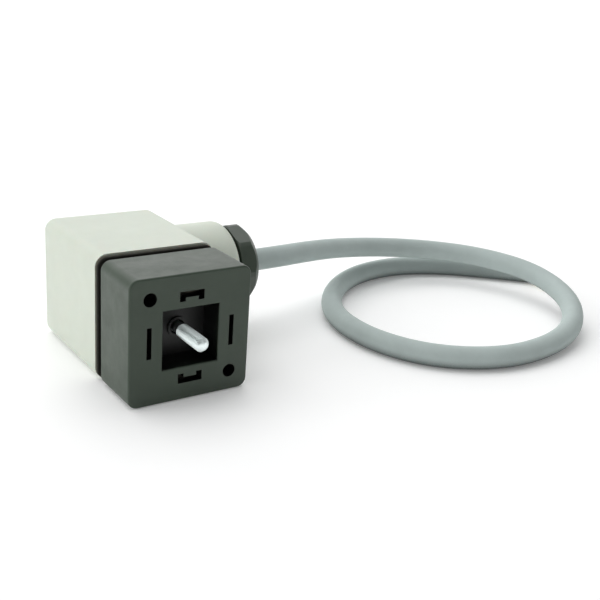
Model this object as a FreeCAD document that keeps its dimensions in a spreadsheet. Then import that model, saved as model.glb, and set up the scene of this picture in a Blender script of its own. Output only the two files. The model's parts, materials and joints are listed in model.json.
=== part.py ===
import FreeCAD, Part
import math
import os
import re
import Sketcher

# Form A valve connector (three-pole-and-earth plug for a solenoid coil) with an electronics
# housing and a short fixed lead. Millimetres. The origin is the centre of the mating face, on
# the fixing screw's axis. +Y runs into the housing, +X towards the cable GLAND, +Z up.

SIZES = {
    # contact carrier: the dark square base that plugs on to the coil
    "carrier_half": 13.2,
    "carrier_depth": 13.0,
    "carrier_round": 2.0,
    "carrier_edge_round": 0.4,
    "recess_edge_round": 0.3,
    "tower_half": 10.85,
    "tower_inner_half": 9.45,
    "tower_rear": 18.0,
    "hub_radius": 3.8,
    "recess_half": 6.1,
    "recess_depth": 6.2,
    "collar_radius": 2.1,
    "collar_front": 5.7,
    "collar_foot": 0.2,
    "thread_hole_radius": 1.6,
    "retainer_seat_radius": 3.0,
    "retainer_seat_front": 11.6,
    # contact layout
    "contact_offset": 9.0,
    "front_wall": 1.6,
    "slit_half_width": 0.5,
    "slit_half_height": 3.25,
    "c_slot_half_width": 2.65,
    "c_slot_bar_half": 0.62,
    "c_slot_leg_width": 1.25,
    "c_slot_leg_depth": 0.8,
    "cavity_half_width": 1.15,
    "cavity_half_height": 3.4,
    "key_hole_radius": 1.4,
    "key_hole_offset": 8.9,
    "key_hole_depth": 5.0,
    # female contacts
    "leaf_thickness": 0.5,
    "contact_clearance": 0.05,
    "leaf_front": 3.4,
    "leaf_rear": 10.5,
    "tail_half_width": 1.2,
    "tail_half_thickness": 0.4,
    "tail_rear": 20.4,
    # gasket between carrier and housing
    "gasket_half": 13.1,
    "gasket_round": 2.2,
    "gasket_groove_half": 12.0,
    "gasket_bead_front": 15.0,
    "gasket_bead_round": 0.3,
    "gasket_hole_half": 10.95,
    # electronics housing: the light rectangular cap
    "housing_front": 16.0,
    "housing_rear": 45.2,
    "housing_half": 13.2,
    "housing_top": 13.5,
    "housing_bottom": -13.3,
    "housing_wall": 1.8,
    "housing_rear_wall": 2.0,
    "housing_round": 2.6,
    "housing_rear_round": 2.0,
    "column_radius": 3.8,
    "spigot_radius": 2.9,
    "spigot_front": 13.1,
    "shank_hole_radius": 1.5,
    "head_seat": 40.2,
    "head_hole_radius": 3.2,
    "head_boss_radius": 5.2,
    "head_boss_front": 38.2,
    # cable GLAND, its axis parallel to X
    "gland_y": 28.5,
    "gland_z": 3.3,
    "boss_radius": 10.15,
    "boss_root": 10.1,
    "boss_end": 22.9,
    "boss_edge_round": 2.2,
    "thread_bore_radius": 7.62,
    "thread_bore_root": 14.9,
    "grommet_bore_radius": 6.0,
    "grommet_seat": 9.9,
    "sleeve_radius": 7.2,
    "sleeve_root": 8.5,
    "cable_hole_radius": 3.2,
    # gland nut
    "nut_rear": 23.5,
    "nut_rear_radius": 8.75,
    "nut_rear_chamfer_end": 23.85,
    "nut_chamfer_start": 26.7,
    "nut_front": 28.2,
    "nut_face_radius": 7.8,
    "nut_corner_radius": 9.1,
    "nut_flats": 17.2,
    "nut_corner_round": 0.6,
    "nut_edge_round": 0.35,
    "nut_shank_radius": 7.45,
    "nut_bore_radius": 3.5,
    "nut_mouth_radius": 4.6,
    "ring_thickness": 1.0,
    "ring_radius": 7.3,
    # fixing screw, M3 with a reduced shank so that it stays captive
    "screw_tip": -5.0,
    "tip_chamfer": 0.5,
    "thread_radius": 1.5,
    "thread_rear": 4.0,
    "shank_radius": 1.2,
    "head_front": 41.4,
    "head_rear": 44.2,
    "head_radius": 2.75,
    "head_slot_width": 0.8,
    "head_slot_depth": 1.2,
    "o_ring_centre": 40.85,
    "o_ring_radius": 1.95,
    "o_ring_section": 0.5,
    "retainer_radius": 2.98,
    "retainer_bore_radius": 1.36,
    "retainer_thickness": 1.4,
    # cable
    "cable_radius": 2.6,
    "sheath_inner_end": 6.5,
    "cord_start": 25.0,
    "core_radius": 0.7,
    "core_bend": 0.9,
    "ferrule_collar_radius": 0.85,
    "ferrule_collar_length": 2.2,
    "ferrule_radius": 0.6,
    "ferrule_length": 6.0,
    # circuit board and what stands on it
    "board_half": 9.9,
    "board_rear": 19.6,
    "board_slot_gap": 0.1,
    "board_hole_radius": 4.3,
    "capacitor_x": -6.2,
    "capacitor_z": 6.2,
    "capacitor_radius": 4.0,
    "capacitor_height": 12.0,
    "capacitor_groove": 1.6,
    "capacitor_edge": 0.4,
    "capacitor_neck": 0.3,
    "transistor_half": 5.0,
    "transistor_top": -5.8,
    "transistor_back": -9.6,
    "transistor_foot": 22.6,
    "transistor_case_rear": 31.6,
    "tab_back": -10.9,
    "tab_rear": 37.6,
    "tab_hole_y": 34.8,
    "tab_hole_radius": 1.8,
    "transistor_leg_pitch": 2.54,
    "transistor_leg_half": 0.4,
    "transistor_leg_front": -7.6,
    "transistor_leg_back": -8.1,
    "transistor_leg_root": 0.5,
    "rectifier_low_x": 1.8,
    "rectifier_high_x": 8.2,
    "rectifier_low_z": 5.4,
    "rectifier_high_z": 9.4,
    "rectifier_height": 2.6,
    "choke_x": -7.5,
    "choke_z": -4.0,
    "choke_half": 2.3,
    "choke_foot_height": 0.9,
    "choke_radius": 2.15,
    "choke_height": 5.0,
    "varistor_x": 6.5,
    "varistor_z": -7.0,
    "varistor_half_thickness": 1.1,
    "varistor_radius": 3.4,
    "varistor_lift": 4.6,
    "varistor_leg_radius": 0.35,
    "varistor_leg_pitch_half": 1.5,
    # how far a tool runs past what it cuts, and a joined shape into what it joins
    "past": 1.0,
    "into": 0.5,
}

FUNCTIONS = {"cos", "deg"}
TOLERANCE = 1e-6

doc = FreeCAD.newDocument("valve_connector")
sheet = doc.addObject("Spreadsheet::Sheet", "Sizes")
for row, (alias, value) in enumerate(SIZES.items(), start=1):
    sheet.set(f"A{row}", alias)
    sheet.set(f"B{row}", str(value))
    sheet.setAlias(f"B{row}", alias)
doc.recompute()

X_AXIS = FreeCAD.Vector(1, 0, 0)
Y_AXIS = FreeCAD.Vector(0, 1, 0)
Z_AXIS = FreeCAD.Vector(0, 0, 1)
ALONG = {
    "X": FreeCAD.Rotation(Y_AXIS, 90),
    "Y": FreeCAD.Rotation(X_AXIS, -90),
    "Z": FreeCAD.Rotation(),
}

# Where the gland's axis crosses a plane of constant X, and the screw's one of constant Y.
GLAND = ("gland_y", "gland_z")
SCREW = ("0", "0")


def size(alias):
    """A size read from the sheet as a number."""
    return float(sheet.get(alias))


def bind(obj, prop, text):
    """Binds a property to an expression whose words are the sheet's aliases."""
    def word(match):
        name = match.group(0)
        return name if name in FUNCTIONS else f"Sizes.{name}"

    obj.setExpression(prop, re.sub(r"[a-z][a-z_]*", word, str(text)))


def place(obj, x, y, z):
    """Binds the three coordinates of an object's placement."""
    for axis, text in (("x", x), ("y", y), ("z", z)):
        bind(obj, f"Placement.Base.{axis}", text)


def block(name, x, y, z):
    """A box from a (low, high) pair of expressions on each axis."""
    box = doc.addObject("Part::Box", name)
    for prop, pair in (("Length", x), ("Width", y), ("Height", z)):
        bind(box, prop, f"({pair[1]}) - ({pair[0]})")
    place(box, x[0], y[0], z[0])
    return box


def rod(name, radius, axis, start, end, centre):
    """A cylinder along an axis from start to end; centre is its place on the other two axes."""
    cylinder = doc.addObject("Part::Cylinder", name)
    cylinder.Placement = FreeCAD.Placement(FreeCAD.Vector(), ALONG[axis])
    bind(cylinder, "Radius", radius)
    bind(cylinder, "Height", f"({end}) - ({start})")
    at = list(centre)
    at.insert("XYZ".index(axis), start)
    place(cylinder, *at)
    return cylinder


def cone(name, radius_start, radius_end, axis, start, end, centre):
    """A cone frustum along an axis from start to end."""
    frustum = doc.addObject("Part::Cone", name)
    frustum.Placement = FreeCAD.Placement(FreeCAD.Vector(), ALONG[axis])
    bind(frustum, "Radius1", radius_start)
    bind(frustum, "Radius2", radius_end)
    bind(frustum, "Height", f"({end}) - ({start})")
    at = list(centre)
    at.insert("XYZ".index(axis), start)
    place(frustum, *at)
    return frustum


def fuse(name, *shapes):
    """Several objects joined into one solid."""
    joined = doc.addObject("Part::MultiFuse", name)
    joined.Shapes = list(shapes)
    joined.Refine = True
    return joined


def cut(name, base, *tools):
    """base with every tool taken away."""
    for number, tool in enumerate(tools, start=1):
        last = number == len(tools)
        step = doc.addObject("Part::Cut", name if last else f"{name}_cut_{number}")
        step.Base = base
        step.Tool = tool
        base = step
    return base


def common(name, first, second):
    """The space that two objects share."""
    shared = doc.addObject("Part::Common", name)
    shared.Base = first
    shared.Tool = second
    return shared


def round_edges(name, base, picks):
    """base with its edges rounded; picks is a list of (test on the edge, radius)."""
    doc.recompute()
    rounded = doc.addObject("Part::Fillet", name)
    rounded.Base = base
    edges = []
    for number, edge in enumerate(base.Shape.Edges, start=1):
        for test, radius in picks:
            if test(edge):
                edges.append((number, radius, radius))
                break
    rounded.Edges = edges
    return rounded


def runs_along(edge, axis):
    """True for a straight edge parallel to an axis."""
    if not isinstance(edge.Curve, Part.Line):
        return False
    return abs(abs(edge.Curve.Direction.dot(axis)) - 1) < TOLERANCE


def lies_at(edge, axis, value):
    """True for an edge whose points all have this coordinate."""
    return all(abs(v.Point.dot(axis) - value) < TOLERANCE for v in edge.Vertexes)


def body(name):
    """An empty PartDesign body."""
    return doc.addObject("PartDesign::Body", name)


def sketch(owner, name, plane, offset="0", lift_x="0", lift_y="0"):
    """A sketch on one of its body's own origin planes, moved by bound offsets."""
    drawn = owner.newObject("Sketcher::SketchObject", name)
    support = [f for f in owner.Origin.OriginFeatures if f.Role == plane][0]
    drawn.AttachmentSupport = [(support, "")]
    drawn.MapMode = "FlatFace"
    for axis, text in (("x", lift_x), ("y", lift_y), ("z", offset)):
        bind(drawn, f"AttachmentOffset.Base.{axis}", text)
    return drawn


def pin_point(drawn, geometry, point, x, y):
    """Fixes a sketch point by two bound distances from the sketch's origin."""
    for kind, text in (("DistanceX", x), ("DistanceY", y)):
        value = value_of(text)
        index = drawn.addConstraint(Sketcher.Constraint(kind, -1, 1, geometry, point, value))
        bind(drawn, f"Constraints[{index}]", text)


def value_of(text):
    """The value of an expression, for a sketch's first guess."""
    names = {alias: size(alias) for alias in re.findall(r"[a-z][a-z_]*", str(text)) if alias in SIZES}
    total = str(text)
    for alias in sorted(names, key=len, reverse=True):
        total = re.sub(rf"\b{alias}\b", repr(names[alias]), total)
    return float(FreeCAD.Units.Quantity(total).Value)


def outline(drawn, points):
    """A closed outline of straight lines; points are pairs of expressions."""
    first = drawn.GeometryCount
    places = [FreeCAD.Vector(value_of(x), value_of(y), 0) for x, y in points]
    for number, start in enumerate(places):
        end = places[(number + 1) % len(places)]
        drawn.addGeometry(Part.LineSegment(start, end), False)
    for number, (x, y) in enumerate(points):
        line = first + number
        after = first + (number + 1) % len(points)
        drawn.addConstraint(Sketcher.Constraint("Coincident", line, 2, after, 1))
        pin_point(drawn, line, 1, x, y)
    return drawn


def rectangle(drawn, x, y):
    """A closed rectangle from a (low, high) pair of expressions on each sketch axis."""
    return outline(drawn, [(x[0], y[0]), (x[1], y[0]), (x[1], y[1]), (x[0], y[1])])


def circle(drawn, x, y, radius):
    """A circle with its centre and radius bound."""
    centre = FreeCAD.Vector(value_of(x), value_of(y), 0)
    ring = drawn.addGeometry(Part.Circle(centre, Z_AXIS, value_of(radius)), False)
    pin_point(drawn, ring, 3, x, y)
    index = drawn.addConstraint(Sketcher.Constraint("Radius", ring, value_of(radius)))
    bind(drawn, f"Constraints[{index}]", radius)
    return drawn


def pad(owner, name, drawn, length, backwards=False):
    """Material added from a sketch."""
    added = owner.newObject("PartDesign::Pad", name)
    added.Profile = drawn
    added.Reversed = backwards
    bind(added, "Length", length)
    doc.recompute()
    return added


def pocket(owner, name, drawn, length, backwards=False):
    """Material taken away from a sketch; it must take something."""
    before = owner.Shape.Volume
    taken = owner.newObject("PartDesign::Pocket", name)
    taken.Profile = drawn
    taken.Reversed = backwards
    bind(taken, "Length", length)
    doc.recompute()
    if owner.Shape.Volume > before - TOLERANCE:
        raise RuntimeError(f"pocket {name} cuts nothing")
    return taken


def lathe(owner, name, drawn, axis):
    """A full turn of a sketch about one of its own axes."""
    turned = owner.newObject("PartDesign::Revolution", name)
    turned.Profile = drawn
    turned.ReferenceAxis = (drawn, [axis])
    turned.Angle = 360
    doc.recompute()
    return turned


def soften(owner, name, feature, test, radius):
    """Rounds the edges of a body's last feature that pass a test."""
    doc.recompute()
    names = [f"Edge{n}" for n, e in enumerate(feature.Shape.Edges, start=1) if test(e)]
    rounded = owner.newObject("PartDesign::Fillet", name)
    rounded.Base = (feature, names)
    bind(rounded, "Radius", radius)
    doc.recompute()
    return rounded


def solid(name, shape):
    """A sub-part whose shape is worked out in code from the sheet's sizes."""
    made = doc.addObject("Part::Feature", name)
    made.Shape = shape
    made.Placement = FreeCAD.Placement()
    return made


# ---------------------------------------------------------------- contact carrier


def contact_carrier():
    """Square base with the screw recess, the four contact slots and the tower behind."""
    owner = body("contact_carrier")
    face = rectangle(
        sketch(owner, "carrier_outline", "XZ_Plane"),
        ("-carrier_half", "carrier_half"),
        ("-carrier_half", "carrier_half"),
    )
    base = pad(owner, "carrier_block", face, "carrier_depth", backwards=True)
    rounded = soften(owner, "carrier_corners", base, lambda e: runs_along(e, Y_AXIS), "carrier_round")
    soften(owner, "carrier_front_edge", rounded, lambda e: lies_at(e, Y_AXIS, 0), "carrier_edge_round")

    tower = sketch(owner, "tower_outline", "XZ_Plane", "-carrier_depth")
    for half in ("tower_half", "tower_inner_half"):
        rectangle(tower, (f"-{half}", half), (f"-{half}", half))
    pad(owner, "tower", tower, "tower_rear - carrier_depth", backwards=True)
    hub = circle(sketch(owner, "hub_outline", "XZ_Plane", "-carrier_depth"), "0", "0", "hub_radius")
    pad(owner, "hub", hub, "tower_rear - carrier_depth", backwards=True)

    recess = rectangle(
        sketch(owner, "recess_outline", "XZ_Plane"),
        ("-recess_half", "recess_half"),
        ("-recess_half", "recess_half"),
    )
    hollowed = pocket(owner, "recess", recess, "recess_depth")
    rim = size("recess_half") + TOLERANCE
    soften(
        owner,
        "recess_front_edge",
        hollowed,
        lambda e: lies_at(e, Y_AXIS, 0) and all(max(abs(v.X), abs(v.Z)) < rim for v in e.Vertexes),
        "recess_edge_round",
    )
    collar = circle(
        sketch(owner, "collar_outline", "XZ_Plane", "-collar_front"), "0", "0", "collar_radius"
    )
    pad(owner, "collar", collar, "recess_depth - collar_front + collar_foot", backwards=True)
    bore = circle(
        sketch(owner, "bore_outline", "XZ_Plane", "-collar_front"), "0", "0", "thread_hole_radius"
    )
    pocket(owner, "screw_bore", bore, "tower_rear - collar_front")
    seat = circle(
        sketch(owner, "seat_outline", "XZ_Plane", "-retainer_seat_front"),
        "0",
        "0",
        "retainer_seat_radius",
    )
    pocket(owner, "retainer_seat", seat, "tower_rear - retainer_seat_front")

    slots = sketch(owner, "slot_outlines", "XZ_Plane")
    cavities = sketch(owner, "cavity_outlines", "XZ_Plane", "-front_wall")
    keys = sketch(owner, "key_hole_outlines", "XZ_Plane")
    for sign in ("-", ""):
        across = (f"{sign}contact_offset - slit_half_width", f"{sign}contact_offset + slit_half_width")
        rectangle(slots, across, ("-slit_half_height", "slit_half_height"))
        wide = (f"{sign}contact_offset - cavity_half_width", f"{sign}contact_offset + cavity_half_width")
        rectangle(cavities, wide, ("-cavity_half_height", "cavity_half_height"))
        rectangle(cavities, ("-cavity_half_height", "cavity_half_height"), wide)
        inner = "+" if sign == "-" else "-"
        bar_out = f"{sign}contact_offset {sign or '+'} c_slot_bar_half"
        bar_in = f"{sign}contact_offset {inner} c_slot_bar_half"
        leg_in = f"{bar_in} {inner} c_slot_leg_depth"
        leg_side = "c_slot_half_width - c_slot_leg_width"
        outline(
            slots,
            [
                ("-c_slot_half_width", bar_out),
                ("c_slot_half_width", bar_out),
                ("c_slot_half_width", leg_in),
                (leg_side, leg_in),
                (leg_side, bar_in),
                (f"-({leg_side})", bar_in),
                (f"-({leg_side})", leg_in),
                ("-c_slot_half_width", leg_in),
            ],
        )
        key_z = "key_hole_offset" if sign == "-" else "-key_hole_offset"
        circle(keys, f"{sign}key_hole_offset", key_z, "key_hole_radius")
    pocket(owner, "contact_slots", slots, "front_wall")
    pocket(owner, "contact_cavities", cavities, "carrier_depth - front_wall")
    pocket(owner, "key_holes", keys, "key_hole_depth")
    return owner


def contact(name, upright, sign):
    """Female contact: two spring leaves, a web behind them and a tail to the board."""
    middle = f"{sign}contact_offset"
    outer = "cavity_half_width - contact_clearance"
    inner = f"{outer} - leaf_thickness"
    tall = ("-cavity_half_height + contact_clearance", "cavity_half_height - contact_clearance")
    leaf_y = ("leaf_front", "leaf_rear")
    web_y = ("leaf_rear", "leaf_rear + leaf_thickness")
    tail_y = ("leaf_rear + leaf_thickness", "tail_rear")

    def plate(part, low, high, along, height):
        across = (f"{middle} {low}", f"{middle} {high}")
        x, z = (across, height) if upright else (height, across)
        return block(f"{name}_{part}", x, along, z)

    return fuse(
        name,
        plate("low_leaf", f"- ({outer})", f"- ({inner})", leaf_y, tall),
        plate("high_leaf", f"+ ({inner})", f"+ ({outer})", leaf_y, tall),
        plate("web", f"- ({outer})", f"+ ({outer})", web_y, tall),
        plate(
            "tail",
            "- tail_half_thickness",
            "+ tail_half_thickness",
            tail_y,
            ("-tail_half_width", "tail_half_width"),
        ),
    )


# ---------------------------------------------------------------- gasket


def housing_gasket():
    """Rubber frame between carrier and housing: a bead at the housing, a groove before it."""
    bead_front = size("gasket_bead_front")
    groove_round = size("gasket_round") - size("gasket_half") + size("gasket_groove_half")
    lip = block(
        "gasket_lip",
        ("-gasket_groove_half", "gasket_groove_half"),
        ("carrier_depth", "gasket_bead_front + into"),
        ("-gasket_groove_half", "gasket_groove_half"),
    )
    rounded_lip = round_edges("gasket_lip_rounded", lip, [(lambda e: runs_along(e, Y_AXIS), groove_round)])
    bead = block(
        "gasket_bead",
        ("-gasket_half", "gasket_half"),
        ("gasket_bead_front", "housing_front"),
        ("-gasket_half", "gasket_half"),
    )
    rounded_bead = round_edges(
        "gasket_bead_rounded",
        bead,
        [
            (lambda e: runs_along(e, Y_AXIS), size("gasket_round")),
            (lambda e: lies_at(e, Y_AXIS, bead_front), size("gasket_bead_round")),
        ],
    )
    hole = block(
        "gasket_hole",
        ("-gasket_hole_half", "gasket_hole_half"),
        ("carrier_depth - past", "housing_front + past"),
        ("-gasket_hole_half", "gasket_hole_half"),
    )
    return cut("housing_gasket", fuse("gasket_frame", rounded_lip, rounded_bead), hole)


# ---------------------------------------------------------------- electronics housing


def electronics_housing():
    """Light cap with the screw column inside and the round gland boss on its +X side."""
    outer = block(
        "housing_outer",
        ("-housing_half", "housing_half"),
        ("housing_front", "housing_rear"),
        ("housing_bottom", "housing_top"),
    )
    rear = size("housing_rear")
    rounded = round_edges(
        "housing_rounded",
        outer,
        [
            (lambda e: runs_along(e, Y_AXIS), size("housing_round")),
            (lambda e: lies_at(e, Y_AXIS, rear), size("housing_rear_round")),
        ],
    )
    cavity = block(
        "housing_cavity",
        ("-housing_half + housing_wall", "housing_half - housing_wall"),
        ("housing_front - past", "housing_rear - housing_rear_wall"),
        ("housing_bottom + housing_wall", "housing_top - housing_wall"),
    )
    shell = cut("housing_shell", rounded, cavity)

    cylinder = rod("boss_cylinder", "boss_radius", "X", "boss_root", "boss_end", GLAND)
    end = size("boss_end")
    boss = round_edges(
        "boss_rounded", cylinder, [(lambda e: lies_at(e, X_AXIS, end), size("boss_edge_round"))]
    )
    sleeve = rod("gland_sleeve", "sleeve_radius", "X", "sleeve_root", "boss_root + past", GLAND)
    inner_rear = "housing_rear - housing_rear_wall + into"
    column = rod("screw_column", "column_radius", "Y", "tower_rear", inner_rear, SCREW)
    spigot = rod("screw_spigot", "spigot_radius", "Y", "spigot_front", "tower_rear + past", SCREW)
    head_boss = rod("head_boss", "head_boss_radius", "Y", "head_boss_front", inner_rear, SCREW)
    whole = fuse("housing_whole", shell, boss, sleeve, column, spigot, head_boss)

    thread_bore = rod("thread_bore", "thread_bore_radius", "X", "thread_bore_root", "boss_end + past", GLAND)
    grommet_bore = rod(
        "grommet_bore", "grommet_bore_radius", "X", "grommet_seat", "thread_bore_root + past", GLAND
    )
    cable_hole = rod(
        "cable_hole", "cable_hole_radius", "X", "sleeve_root - past", "grommet_seat + past", GLAND
    )
    shank_hole = rod(
        "shank_hole", "shank_hole_radius", "Y", "spigot_front - past", "head_seat + past", SCREW
    )
    head_hole = rod("head_hole", "head_hole_radius", "Y", "head_seat", "housing_rear + past", SCREW)
    return cut("electronics_housing", whole, thread_bore, grommet_bore, cable_hole, shank_hole, head_hole)


# ---------------------------------------------------------------- fixing screw and its rings


def fixing_screw():
    """Captive M3 screw: full-size thread at the free end, thinner shank, slotted cheese head."""
    owner = body("fixing_screw")
    profile = outline(
        sketch(owner, "screw_profile", "XY_Plane"),
        [
            ("0", "screw_tip"),
            ("thread_radius - tip_chamfer", "screw_tip"),
            ("thread_radius", "screw_tip + tip_chamfer"),
            ("thread_radius", "thread_rear"),
            ("shank_radius", "thread_rear"),
            ("shank_radius", "head_front"),
            ("head_radius", "head_front"),
            ("head_radius", "head_rear"),
            ("0", "head_rear"),
        ],
    )
    lathe(owner, "screw_turned", profile, "V_Axis")
    slot = rectangle(
        sketch(owner, "head_slot_outline", "XZ_Plane", "-head_rear"),
        ("-head_radius - past", "head_radius + past"),
        ("-head_slot_width / 2", "head_slot_width / 2"),
    )
    pocket(owner, "head_slot", slot, "head_slot_depth", backwards=True)
    return owner


def screw_o_ring():
    """Rubber ring that seals the screw's head against the housing."""
    ring = doc.addObject("Part::Torus", "screw_o_ring")
    ring.Placement = FreeCAD.Placement(FreeCAD.Vector(), ALONG["Y"])
    bind(ring, "Radius1", "o_ring_radius")
    bind(ring, "Radius2", "o_ring_section")
    place(ring, "0", "o_ring_centre", "0")
    return ring


def washer(name, outer, inner, axis, start, end, centre):
    """A flat ring along an axis."""
    disc = rod(f"{name}_disc", outer, axis, start, end, centre)
    hole = rod(f"{name}_hole", inner, axis, f"{start} - past", f"{end} + past", centre)
    return cut(name, disc, hole)


# ---------------------------------------------------------------- cable gland


NUT_SIDES = 8


def gland_nut():
    """Octagonal hollow nut, chamfered at both faces, with a threaded shank."""
    prism = doc.addObject("Part::Prism", "nut_prism")
    prism.Polygon = NUT_SIDES
    prism.Placement = FreeCAD.Placement(FreeCAD.Vector(), ALONG["X"])
    bind(prism, "Circumradius", f"nut_flats / 2 / cos({180 / NUT_SIDES} deg)")
    bind(prism, "Height", "nut_front - nut_rear")
    place(prism, "nut_rear", *GLAND)
    rear_cone = cone(
        "nut_rear_cone",
        "nut_rear_radius",
        "nut_corner_radius",
        "X",
        "nut_rear",
        "nut_rear_chamfer_end",
        GLAND,
    )
    barrel = rod("nut_barrel", "nut_corner_radius", "X", "nut_rear_chamfer_end", "nut_chamfer_start", GLAND)
    front_cone = cone(
        "nut_front_cone",
        "nut_corner_radius",
        "nut_face_radius",
        "X",
        "nut_chamfer_start",
        "nut_front",
        GLAND,
    )
    front = size("nut_front")
    face_edge = round_edges(
        "nut_face_edge", front_cone, [(lambda e: lies_at(e, X_AXIS, front), size("nut_edge_round"))]
    )
    head = common("nut_head", prism, fuse("nut_envelope", rear_cone, barrel, face_edge))
    corner = size("nut_corner_round")
    soft_head = round_edges("nut_soft_head", head, [(lambda e: runs_along(e, X_AXIS), corner)])
    shank_root = "thread_bore_root + ring_thickness"
    shank = rod("nut_shank", "nut_shank_radius", "X", shank_root, "nut_rear + past", GLAND)
    whole = fuse("nut_whole", soft_head, shank)
    bore = rod("nut_bore", "nut_bore_radius", "X", f"{shank_root} - past", "nut_front + past", GLAND)
    mouth = cone(
        "nut_mouth",
        "nut_bore_radius",
        "nut_mouth_radius",
        "X",
        "nut_front - nut_mouth_radius + nut_bore_radius",
        "nut_front",
        GLAND,
    )
    return cut("gland_nut", whole, bore, mouth)


# ---------------------------------------------------------------- cable

# The lead's route, from inside the gland nut's mouth, out along +X, down on to the surface that
# the housing stands on, once round to the front and left and back under its own first stretch.
ROUTE = [
    (25.0, 28.5, 3.3),
    (36.0, 28.5, 3.3),
    (51.0, 33.5, 1.8),
    (66.0, 40.3, -1.0),
    (82.0, 42.5, -3.2),
    (97.0, 38.0, -4.4),
    (107.8, 28.0, -4.9),
    (113.4, 13.6, -5.7),
    (110.8, -1.6, -7.9),
    (100.2, -12.4, -10.0),
    (85.4, -17.6, -10.7),
    (69.0, -17.6, -10.7),
    (55.2, -9.4, -10.7),
    (48.8, 4.8, -10.7),
    (50.4, 21.2, -10.7),
    (60.8, 35.4, -10.7),
    (75.5, 44.0, -10.7),
    (90.8, 45.4, -10.7),
    (103.5, 40.5, -10.7),
    (114.0, 32.5, -10.7),
    (123.5, 24.3, -10.7),
]
BEND_SHARE = 0.45
VOLUME_TOLERANCE = 0.002


def bent_path(points):
    """Straight runs joined by tangent arcs as large as the runs allow, and the arcs' radii."""
    corners = [FreeCAD.Vector(*p) for p in points]
    edges = []
    radii = []
    here = corners[0]
    for before, corner, after in zip(corners, corners[1:], corners[2:]):
        back = before - corner
        ahead = after - corner
        reach = BEND_SHARE * min(back.Length, ahead.Length)
        turn = math.pi - back.getAngle(ahead)
        radii.append(reach / math.tan(turn / 2))
        back.normalize()
        ahead.normalize()
        arc_start = corner + back * reach
        arc_end = corner + ahead * reach
        inward = back + ahead
        inward.normalize()
        sagitta = radii[-1] / math.cos(turn / 2) - radii[-1]
        edges.append(Part.LineSegment(here, arc_start).toShape())
        edges.append(Part.Arc(arc_start, corner + inward * sagitta, arc_end).toShape())
        here = arc_end
    edges.append(Part.LineSegment(here, corners[-1]).toShape())
    return Part.Wire(edges), radii


def tube(points, radius):
    """A round solid along a bent path, with the path's length and radii."""
    wire, radii = bent_path(points)
    direction = wire.Edges[0].tangentAt(wire.Edges[0].FirstParameter)
    section = Part.Wire(Part.makeCircle(radius, FreeCAD.Vector(*points[0]), direction))
    return wire.makePipeShell([section], True, False), wire.Length, radii


def cable():
    """The free lead, from the gland to where its sheath ends."""
    radius = size("cable_radius")
    shape, length, radii = tube(ROUTE, radius)
    expected = math.pi * radius**2 * length
    print("cable length", round(length, 1), "radii", [round(r, 1) for r in radii])
    print("cable volume over section times length", round(shape.Volume / expected, 4))
    if abs(shape.Volume / expected - 1) > VOLUME_TOLERANCE:
        raise RuntimeError("the cable's tube doesn't fill its path")
    return solid("cable", shape)


# Where the three cores sit in the sheath's section, across and up.
CORE_SEATS = {"brown": (0.85, 0.5), "blue": (0.0, -0.98), "green_yellow": (-0.85, 0.5)}


def inner_cores():
    """The three cores from the sheath's inner end to the circuit board."""
    radius = size("core_radius")
    bend = size("core_bend")
    start_x = size("sheath_inner_end")
    board_rear = size("board_rear")
    lanes = {"brown": 3.75, "blue": 5.25, "green_yellow": 5.25}
    made = []
    for colour, (across, up) in CORE_SEATS.items():
        y = size("gland_y") + across
        z = size("gland_z") + up
        lane = lanes[colour]
        points = [(start_x, y, z), (lane, y, z), (lane, board_rear, z)]
        corner = FreeCAD.Vector(*points[1])
        arc_start = corner + FreeCAD.Vector(bend, 0, 0)
        arc_end = corner - FreeCAD.Vector(0, bend, 0)
        middle = corner + FreeCAD.Vector(1, -1, 0) * (bend * (1 - math.sqrt(0.5)))
        path = Part.Wire(
            [
                Part.LineSegment(FreeCAD.Vector(*points[0]), arc_start).toShape(),
                Part.Arc(arc_start, middle, arc_end).toShape(),
                Part.LineSegment(arc_end, FreeCAD.Vector(*points[2])).toShape(),
            ]
        )
        section = Part.Wire(Part.makeCircle(radius, FreeCAD.Vector(*points[0]), X_AXIS))
        made.append(solid(f"inner_core_{colour}", path.makePipeShell([section], True, False)))
    return made


# The middle core's route from the sheath's end down to the surface, to where its ferrule starts,
# and how far to its side each core lies.
CORE_ROUTE = [
    (125.4, 21.7, -11.5),
    (125.7, 17.9, -12.2),
    (123.9, 14.2, -12.2),
]
CORE_LANES = {"brown": 1.75, "blue": 0.0, "green_yellow": -1.75}


def core_points(start, lane):
    """One core's route: its seat in the sheath, then beside the middle core's route."""
    middle = [FreeCAD.Vector(*p) for p in [ROUTE[-1], *CORE_ROUTE]]
    points = [start]
    for number in range(1, len(middle)):
        after = middle[min(number + 1, len(middle) - 1)]
        along = after - middle[number - 1]
        side = Z_AXIS.cross(along)
        side.normalize()
        points.append(middle[number] + side * lane)
    return points


def ferrule(tip, out):
    """Crimped end sleeve with its wider collar, from the core's tip outwards."""
    collar_length = size("ferrule_collar_length")
    sleeve_length = size("ferrule_length") - collar_length
    collar = Part.makeCylinder(size("ferrule_collar_radius"), collar_length, tip, out)
    sleeve = Part.makeCylinder(size("ferrule_radius"), sleeve_length, tip + out * collar_length, out)
    return collar.fuse(sleeve).removeSplitter()


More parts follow.
